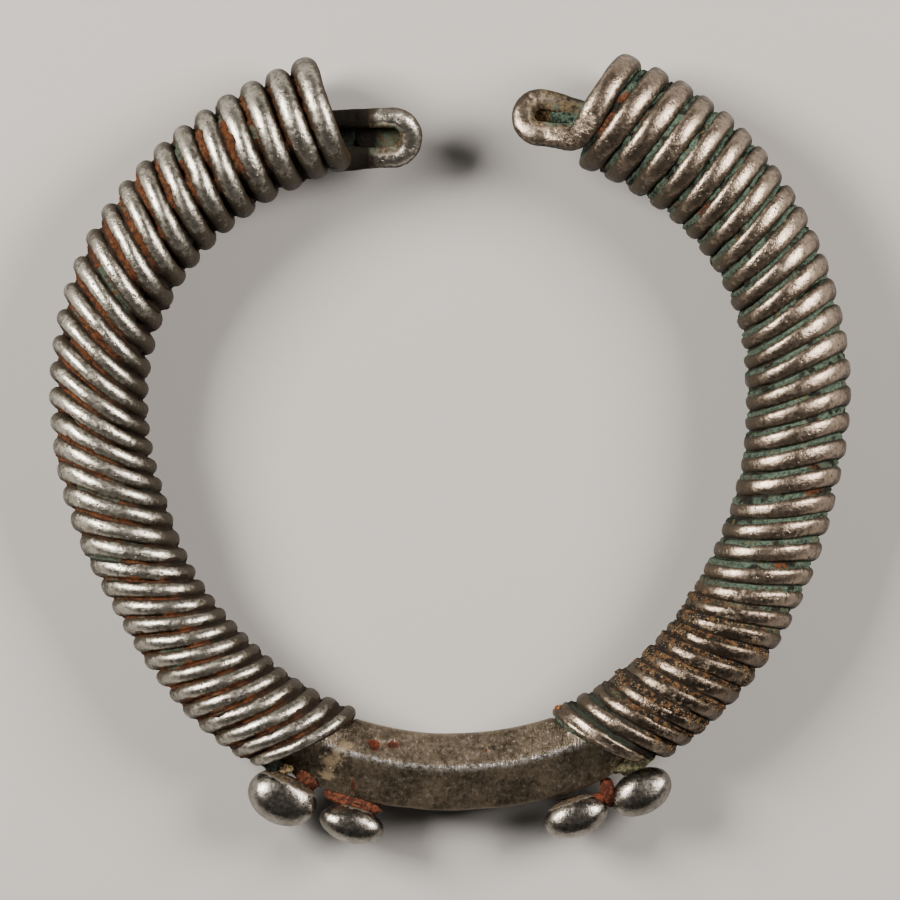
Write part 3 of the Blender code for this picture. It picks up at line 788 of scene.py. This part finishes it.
def knob_piece(name, off, overhang, length, breadth, thickness):
    """An oval knob swept along the hoop's radius from a small foot, with a pressed, nearly flat front.

    Its half length and half thickness follow the cosine of the latitude, and its reach follows the sine."""
    length, breadth = KNOB_SCALE * length, KNOB_SCALE * breadth
    angle = BAR_ANGLE + off
    radial = outward(angle)
    tangent = np.cross(UP, radial)
    bar_reach = BAR_RIGHT_REACH[0] if off > 0 else BAR_LEFT_REACH[0]
    narrowed = np.clip((abs(off) - bar_reach) / BAR_TAPER[0], 0, 1)
    core = COIL_AT_BAR / 2 - WIRE_AT_BAR - 0.2 * MM
    edge = hoop_radius(angle) + BAR_WIDTH / 2 + narrowed * (core - BAR_WIDTH / 2)
    foot = edge + KNOB_GAP
    latitude = np.linspace(-0.42 * math.pi, 0.46 * math.pi, KNOB_STEPS)
    reach = hoop_radius(angle) + BAR_WIDTH / 2 + overhang + breadth / 2 * np.sin(latitude)
    keep = reach > foot
    reach, swell = reach[keep], np.cos(latitude)[keep]
    neck = np.linspace(0, 1, 6)[:-1]
    half_length, half_height = (
        np.concatenate([KNOB_FOOT + (size / 2 * swell[0] - KNOB_FOOT) * neck, size / 2 * swell])
        for size in (length, thickness)
    )
    reach = np.concatenate([foot + (reach[0] - foot) * neck, reach])
    circle = unit_circle(KNOB_SIDES)
    across = half_length[:, None] * circle[:, 0]
    up = half_height[:, None] * circle[:, 1]
    table = KNOB_TABLE * thickness / 2
    over = (up - table) / KNOB_TABLE_EDGE
    rounded = np.where(over > 20, over, np.log1p(np.exp(np.clip(over, -30, 20))))
    up = up - KNOB_PRESSED * KNOB_TABLE_EDGE * rounded
    centre = reach[:, None] * radial + COIL_AT_BAR / 2 * UP
    rings = centre[:, None] + across[..., None] * tangent + up[..., None] * UP
    dents = 0.10 * np.clip(lumps(rings, 2.2 * MM, 51) + 0.1, 0, 1)
    dents = dents + 0.02 * np.clip(lumps(rings, 0.6 * MM, 53), 0, 1)
    rings = rings - (dents * MM)[..., None] * ring_normals(rings)
    at_foot = smooth(0.35, 0.05, (reach - foot) / breadth)[:, None] * np.ones(KNOB_SIDES)
    return tube(name + "_polished", rings, foot=at_foot)


def clump(name, middle, half_sizes, turned, seed, rough, shadow_share):
    """A lumpy drop of solder or crust: an ellipsoid whose swell follows random lumps, turned in plan.

    Its middle and half sizes are in millimetres, and its left side is painted dark as shadow by the given
    share."""
    latitude = np.linspace(-0.49 * math.pi, 0.49 * math.pi, CLUMP_STEPS)
    circle = unit_circle(CLUMP_SIDES)
    level = np.cos(latitude)[:, None, None] * circle
    height = np.sin(latitude)[:, None, None] * np.ones((CLUMP_SIDES, 1))
    ball = np.concatenate([level, height], axis=-1)
    swell = 1 + rough * lumps(ball, 0.7, seed) + 0.4 * rough * lumps(ball, 0.3, seed + 1)
    body = ball * swell[..., None] * np.array(half_sizes) * MM
    angle = math.radians(turned)
    x = math.cos(angle) * body[..., 0] - math.sin(angle) * body[..., 1]
    y = math.sin(angle) * body[..., 0] + math.cos(angle) * body[..., 1]
    body = np.stack([x, y, body[..., 2]], axis=-1)
    return tube(name, body + np.array(middle) * MM, fade=shadow_share * smooth(0.5, -0.6, ball[..., 0]))


class Flow:
    """A number flowing between shader nodes: sums, differences and products of flows add maths nodes."""

    def __init__(self, sheet, socket):
        self.sheet = sheet
        self.socket = socket

    def __add__(self, other):
        return self.sheet.maths("ADD", self, other)

    def __sub__(self, other):
        return self.sheet.maths("SUBTRACT", self, other)

    def __rsub__(self, other):
        return self.sheet.maths("SUBTRACT", other, self)

    def __mul__(self, other):
        return self.sheet.maths("MULTIPLY", self, other)

    __radd__ = __add__
    __rmul__ = __mul__

    def high(self, other):
        """The higher of this flow and another."""
        return self.sheet.maths("MAXIMUM", self, other)

    def clipped(self):
        """This flow, kept between 0 and 1."""
        return self.sheet.maths("ADD", self, 0.0, clamp=True)

    def rise(self, low, high):
        """0 below low, 1 above high, S-shaped between."""
        settings = {"interpolation_type": "SMOOTHSTEP"}
        inputs = {"Value": self, "From Min": low, "From Max": high}
        return Flow(self.sheet, self.sheet.node("ShaderNodeMapRange", settings, inputs))


class Sheet:
    """The node tree of one material."""

    def __init__(self, name):
        self.material = bpy.data.materials.new(name)
        self.material.use_nodes = True
        self.tree = self.material.node_tree
        self.shader = self.tree.nodes["Principled BSDF"]
        self.shader.inputs["Specular IOR Level"].default_value = 0.12
        self.place = self.node("ShaderNodeTexCoord", out="Object")

    def feed(self, socket, value):
        """Link a flow or a socket, or set a plain value."""
        if isinstance(value, Flow):
            value = value.socket
        if isinstance(value, bpy.types.NodeSocket):
            self.tree.links.new(value, socket)
        elif isinstance(value, tuple) and len(value) == 3 and len(socket.default_value) == 4:
            socket.default_value = (*value, 1.0)
        else:
            socket.default_value = value

    def node(self, kind, settings=None, inputs=None, out=0):
        """Add a node, apply its settings, feed its inputs and give back one of its outputs."""
        made = self.tree.nodes.new(kind)
        for key, value in (settings or {}).items():
            setattr(made, key, value)
        for key, value in (inputs or {}).items():
            self.feed(made.inputs[key], value)
        return made.outputs[out]

    def maths(self, operation, first, second, clamp=False):
        """One step of arithmetic on two values."""
        settings = {"operation": operation, "use_clamp": clamp}
        return Flow(self, self.node("ShaderNodeMath", settings, {0: first, 1: second}))

    def amount(self, label):
        """A named amount that the mesh carries."""
        return Flow(self, self.node("ShaderNodeAttribute", {"attribute_name": label}, out="Fac"))

    def noise(self, size_mm, detail=3.0, roughness=0.55, stretch=None, distortion=0.0):
        """Cloudy noise with lumps of a size in millimetres, about 0 to 1 with its middle at 0.5."""
        where = self.place
        if stretch:
            where = self.node("ShaderNodeMapping", {}, {"Vector": where, "Scale": stretch})
        inputs = {
            "Vector": where,
            "Scale": 1 / (size_mm * MM),
            "Detail": detail,
            "Roughness": roughness,
            "Distortion": distortion,
        }
        return Flow(self, self.node("ShaderNodeTexNoise", {}, inputs))

    def spots(self, size_mm):
        """Distance to the nearest of random points, in cells of a size in millimetres."""
        inputs = {"Vector": self.place, "Scale": 1 / (size_mm * MM)}
        return Flow(self, self.node("ShaderNodeTexVoronoi", {}, inputs))

    def mix(self, factor, first, second):
        """A colour between two others."""
        made = self.tree.nodes.new("ShaderNodeMix")
        made.data_type = "RGBA"
        self.feed(made.inputs[0], factor)
        self.feed(made.inputs[6], first)
        self.feed(made.inputs[7], second)
        return made.outputs[2]

    def finish(self, colour, metallic, roughness, relief, depth_mm):
        """Feed the surface and its fine relief, whose full height is a depth in millimetres."""
        self.feed(self.shader.inputs["Base Color"], colour)
        self.feed(self.shader.inputs["Metallic"], metallic)
        self.feed(self.shader.inputs["Roughness"], roughness)
        inputs = {"Height": relief, "Distance": depth_mm * MM, "Strength": 1.0}
        self.feed(self.shader.inputs["Normal"], self.node("ShaderNodeBump", {}, inputs, out="Normal"))
        return self.material


def wire_silver(name, bright, body, stain, deep_stain, painted_shade_weight):
    """Worn wire: bright broken crests, tarnish down the flanks, painted shade on the coil's sides and in the
    left eye's shadow, pinholes, and burnt crust.
    """
    coat = Sheet(name)
    cloud = coat.noise(2.4, 3.0)
    fine = coat.noise(0.45, 4.0, 0.65)
    speck = coat.noise(0.18, 2.0)
    height = coat.amount("height")
    char = coat.amount("char")
    inner = coat.amount("inner")
    scar = coat.amount("scar")
    # The inner amount, painted shade, also keeps the coil's sides from looking worn
    worn = (height + (cloud - 0.5) * 0.4 + (fine - 0.5) * 0.6 - inner * 0.5).rise(0.3, 1.0)
    polished = worn * 1.5 - 0.7 + (fine - 0.5) * 1.6 + (cloud - 0.5) * 0.6 - char * 0.55
    polished = (polished + scar * 0.45).clipped()
    silver = coat.mix(polished, coat.mix(worn, TARNISH, body), bright)
    # Painted shade: the coil's sides and the left eye's shadowed part are darkened toward tarnish, more on
    # the left arm
    silver = coat.mix((inner * painted_shade_weight).clipped(), silver, TARNISH)
    pinhole = coat.spots(0.6).rise(0.3, 0.16) * (cloud + (speck - 0.5) * 0.6).rise(0.5, 0.6)
    pinhole = pinhole.high(scar * speck.rise(0.45, 0.6) * 0.7)
    silver = coat.mix(pinhole * 0.85, silver, TARNISH)
    creep = ((fine - 0.5) * 1.1 + (cloud - 0.5) * 0.6 - height).rise(-0.5, -0.12)
    stained = coat.mix(creep, silver, coat.mix(fine.rise(0.42, 0.62), deep_stain, stain))
    grime = (coat.amount("grime") * 1.5 + (fine - 0.5) * 1.4 - 0.35).clipped()
    soil = coat.mix(fine.rise(0.42, 0.62), TARNISH, TAN_GRIME)
    soil = coat.mix(cloud.rise(0.5, 0.6) * 0.6, soil, VERDIGRIS)
    stained = coat.mix(grime * 0.9, stained, soil)
    burnt = char * ((cloud - 0.5) * 2.4 + (fine - 0.5) * 2.0 - height + inner * 0.5).rise(-0.75, -0.4)
    crust = coat.mix(fine.rise(0.36, 0.68), RUST, BURNT_OCHRE)
    crust = coat.mix(coat.noise(0.7, 4.0, 0.7).rise(0.49, 0.60), SOOT, crust)
    crust = coat.mix(speck.rise(0.56, 0.66) * cloud.rise(0.45, 0.55), crust, PALE_CRUST)
    # Painted shadow: the deepest shadowed part of the left eye turns to soot
    painted_shadow = (inner + (fine - 0.5) * 0.6).rise(1.05, 1.5)
    colour = coat.mix(painted_shadow * 0.9, coat.mix(burnt, stained, crust), SOOT)
    crusty = creep.high(burnt).high(grime).high(painted_shadow)
    metallic = (0.5 + worn * 0.5) * (1.0 - crusty * 0.95)
    roughness = 0.32 + (fine - 0.5) * 0.45 + (1.0 - worn) * 0.2 + crusty * 0.4 + pinhole * 0.2
    relief = fine * 0.75 + speck * 0.25 - pinhole * 0.35 + crusty * coat.noise(0.25, 3.0) * 0.6
    relief = relief + scar * coat.noise(0.4, 3.0).rise(0.4, 0.6) * 1.6
    return coat.finish(colour, metallic, roughness.clipped(), relief, 0.085)


def groove_crust(name, rusty):
    """Dry crust in the grooves: rust and ochre on the left arm, blue-green on the right, soot where burnt,
    and painted shade beside the shaded turn, underneath and on the coil's inner side.
    """
    coat = Sheet(name)
    tone = coat.amount("tone")
    char = coat.amount("char")
    cloud = coat.noise(1.6, 3.0)
    fine = coat.noise(0.32, 4.0, 0.7)
    patchy = tone + (cloud - 0.5) * 1.4 + (fine - 0.5) * 1.2
    rust = coat.mix((fine + (cloud - 0.5) * 0.8).rise(0.46, 0.82), RUST, OCHRE)
    rust = coat.mix(coat.noise(0.42, 3.0).rise(0.44, 0.62) * 0.75, rust, SOOT)
    green = coat.mix(fine.rise(0.3, 0.68), DEEP_GREEN, VERDIGRIS)
    if rusty:
        colour = coat.mix(patchy.rise(0.45, 0.75), rust, coat.mix(0.4, green, TARNISH))
        colour = coat.mix(cloud.rise(0.56, 0.68) * 0.8, colour, coat.mix(fine.rise(0.4, 0.6), SOOT, RUST))
    else:
        colour = coat.mix(patchy.rise(0.5, 0.75), green, coat.mix(fine.rise(0.36, 0.6), SOOT, RED_CRUST))
        colour = coat.mix((tone * -1.0 + (cloud - 0.5) * 1.2).rise(0.55, 0.75), colour, YELLOW_CRUST)
        colour = coat.mix(cloud.rise(0.53, 0.62), colour, coat.mix(fine.rise(0.45, 0.65), SOOT, DEEP_GREEN))
        flecks = coat.mix(tone.rise(-0.2, 0.4), YELLOW_CRUST, RUST)
        colour = coat.mix(coat.noise(0.6, 2.0).rise(0.60, 0.68) * 0.7, colour, flecks)
    burnt = coat.mix(fine.rise(0.36, 0.66), RUST, BURNT_OCHRE)
    burnt = coat.mix(coat.noise(0.7, 4.0, 0.7).rise(0.46, 0.60), SOOT, burnt)
    burnt = coat.mix(coat.noise(0.2, 2.0).rise(0.56, 0.66) * cloud.rise(0.45, 0.55), burnt, PALE_CRUST)
    colour = coat.mix((char * 1.4 - 0.2).clipped(), colour, burnt)
    # Painted shade: soot where the edge and inner amounts mark shade, dark also where the crust turns dark
    # near the bar and along the left outline
    shade_and_dark_crust = (coat.amount("edge") + (fine - 0.5) * 0.9).rise(0.35, 0.85) * 0.85
    shade_and_dark_crust = shade_and_dark_crust.high(coat.amount("inner") * 0.9)
    colour = coat.mix(shade_and_dark_crust, colour, SOOT)
    relief = fine + coat.noise(0.14, 2.0) * 0.5
    return coat.finish(colour, 0.0, (0.82 + (fine - 0.5) * 0.2).clipped(), relief, 0.18)


def bar_silver():
    """Dull scratched bar: brown-grey, rims worn lighter, a thin ridge worn bright and painted with a bluish
    highlight, glints painted on scratches, rusty pits.
    """
    coat = Sheet("bar_silver")
    cloud = coat.noise(2.6, 4.0)
    fine = coat.noise(0.5, 4.0, 0.7)
    speck = coat.noise(0.2, 2.0)
    scratch = coat.noise(0.3, 2.0, 0.6, stretch=(1.0, 0.15, 1.0), distortion=0.8)
    ridge = coat.amount("ridge")
    rim = coat.amount("rim")
    worn = ((cloud - 0.5) * 1.3 + (fine - 0.5) * 1.3 + (scratch - 0.5) * 0.8 + 0.35 + rim * 0.35).clipped()
    colour = coat.mix(worn, BAR_BROWN, BAR_GREY)
    # Painted highlight: bright glints on the scratches and a bluish-white line along the ridge, partly bare
    # worn silver
    glint = scratch.rise(0.6, 0.7) * fine.rise(0.5, 0.62)
    glint = glint.high(ridge * (fine + (speck - 0.5)).rise(0.36, 0.6))
    colour = coat.mix(glint * 0.8, colour, BAR_GLINT)
    pale = (coat.amount("patch") + (fine - 0.5) * 1.6 + (cloud - 0.5) * 0.8 - 0.3).rise(0.15, 0.7)
    colour = coat.mix(pale * 0.6, colour, BAR_STAIN)
    spot = (coat.amount("pit") * 4.0 + (fine - 0.5) * 0.6).rise(0.15, 0.6)
    spot = spot.high((coat.amount("streak") + (fine - 0.5) * 1.2).rise(0.5, 0.8))
    colour = coat.mix(spot, colour, coat.mix(fine.rise(0.45, 0.62), PIT_BLACK, PIT_RED))
    dull = pale.high(spot)
    roughness = (0.42 + (fine - 0.5) * 0.5 - glint * 0.12 + dull * 0.35).clipped()
    relief = scratch * 0.7 + fine * 0.6 + speck * 0.2
    return coat.finish(colour, (0.7 + glint * 0.3) * (1.0 - dull * 0.9), roughness, relief, 0.09)


def knob_silver():
    """Glossy knobs: smooth grey silver with darker veins, and darker round the foot."""
    coat = Sheet("knob_silver_worn")
    cloud = coat.noise(1.8, 3.0)
    fine = coat.noise(0.4, 4.0, 0.65)
    foot = coat.amount("foot")
    worn = ((cloud - 0.5) * 1.6 + (fine - 0.5) * 1.2 + 0.6).clipped()
    colour = coat.mix(worn, KNOB_VEIN, KNOB_BRIGHT)
    # Darker round the foot, where the knob meets the bar
    foot_darkening = (foot + (fine - 0.5) * 0.8).rise(0.65, 0.9)
    colour = coat.mix(foot_darkening, colour, coat.mix(fine.rise(0.4, 0.6), SOOT, KNOB_FOOT_BROWN))
    roughness = (0.22 + (fine - 0.5) * 0.4 + (1.0 - worn) * 0.15 + foot_darkening * 0.5).clipped()
    return coat.finish(colour, 1.0 - foot_darkening, roughness, fine, 0.05)


def residue(name, first, second):
    """A dry lump in two mottled colours, painted as dark as soot where its shadow side is marked."""
    coat = Sheet(name)
    fine = coat.noise(0.4, 4.0, 0.7)
    shadow_share = (coat.amount("fade") * 1.4 + (fine - 0.5)).clipped()
    colour = coat.mix(shadow_share, coat.mix(fine.rise(0.42, 0.6), first, second), SOOT)
    relief = fine + coat.noise(0.15, 2.0) * 0.6
    return coat.finish(colour, 0.0, (0.8 + (fine - 0.5) * 0.2).clipped(), relief, 0.14)


def place(piece, material, *nodes, slot="hoop_silver"):
    """Give a piece its material, its place in the frame and the nodes that it stands for."""
    piece.data.materials.append(material)
    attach(piece, "root")
    if nodes:
        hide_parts(*nodes)


right_silver = wire_silver("right_wire_silver", PINK_BRIGHT, BROWN_BODY, VERDIGRIS, DEEP_GREEN, 0.2)
left_silver = wire_silver("left_wire_silver", COOL_BRIGHT, GREY_BODY, RUSTY_BROWN, SOOT, 0.65)
place(wire_piece("right_wire", ARMS["right"]), right_silver, "wound_hoop")
place(wire_piece("left_wire", ARMS["left"]), left_silver, "wound_hoop")
place(bar_piece(), bar_silver(), "wound_hoop")
place(groove_fill("right_groove_crust", ARMS["right"]), groove_crust("right_crust", False))
place(groove_fill("left_groove_crust", ARMS["left"]), groove_crust("left_crust", True))

polished = knob_silver()
for node, sizes in KNOBS.items():
    place(knob_piece(node, *sizes), polished, node, slot="knob_silver")

residues = {name: residue(name, *colours) for name, colours in RESIDUES.items()}
for name, (*form, kind) in CLUMPS.items():
    place(clump(name, *form), residues[kind])


def softbox(name, location, size, power, colour):
    """A square lamp aimed at the middle of the frame."""
    lamp = bpy.data.lights.new(name, "AREA")
    lamp.shape = "SQUARE"
    lamp.size = size
    lamp.energy = power
    lamp.color = colour
    holder = bpy.data.objects.new(name, lamp)
    bpy.context.scene.collection.objects.link(holder)
    x, y, z = location
    holder.location = location
    holder.rotation_euler = (math.atan2(math.hypot(x, y), z), 0.0, math.atan2(x, -y))


softbox("lamp_left", (-0.37, 0.15, 0.30), 0.20, 7.0, WARM_LIGHT)
softbox("lamp_right", (0.37, 0.14, 0.30), 0.22, 5.0, WARMER_LIGHT)

world = bpy.data.worlds.new("studio")
world.use_nodes = True
world.node_tree.nodes["Background"].inputs["Color"].default_value = SKY_LIGHT
world.node_tree.nodes["Background"].inputs["Strength"].default_value = 0.05
bpy.context.scene.world = world

floor_mesh = bpy.data.meshes.new("floor")
floor_mesh.from_pydata([(-1.5, -1.5, 0), (1.5, -1.5, 0), (1.5, 1.5, 0), (-1.5, 1.5, 0)], [], [(0, 1, 2, 3)])
floor = bpy.data.objects.new("floor", floor_mesh)
bpy.context.scene.collection.objects.link(floor)
floor_paint = bpy.data.materials.new("floor_paint")
floor_paint.use_nodes = True
floor_paint.node_tree.nodes["Principled BSDF"].inputs["Base Color"].default_value = FLOOR_GREY
floor_paint.node_tree.nodes["Principled BSDF"].inputs["Roughness"].default_value = 0.9
floor.data.materials.append(floor_paint)

# The camera looks straight down on the middle of the photo, which lies a little below the hoop's centre
camera = bpy.data.cameras.new("camera")
camera.lens = 360.0
camera.sensor_width = 36.0
camera.clip_start = 0.05
camera.clip_end = 5.0
eye = bpy.data.objects.new("camera", camera)
eye.location = HOOP_PLACE + np.array([0.0, -1.7, 906.0]) * MM
bpy.context.scene.collection.objects.link(eye)
bpy.context.scene.camera = eye
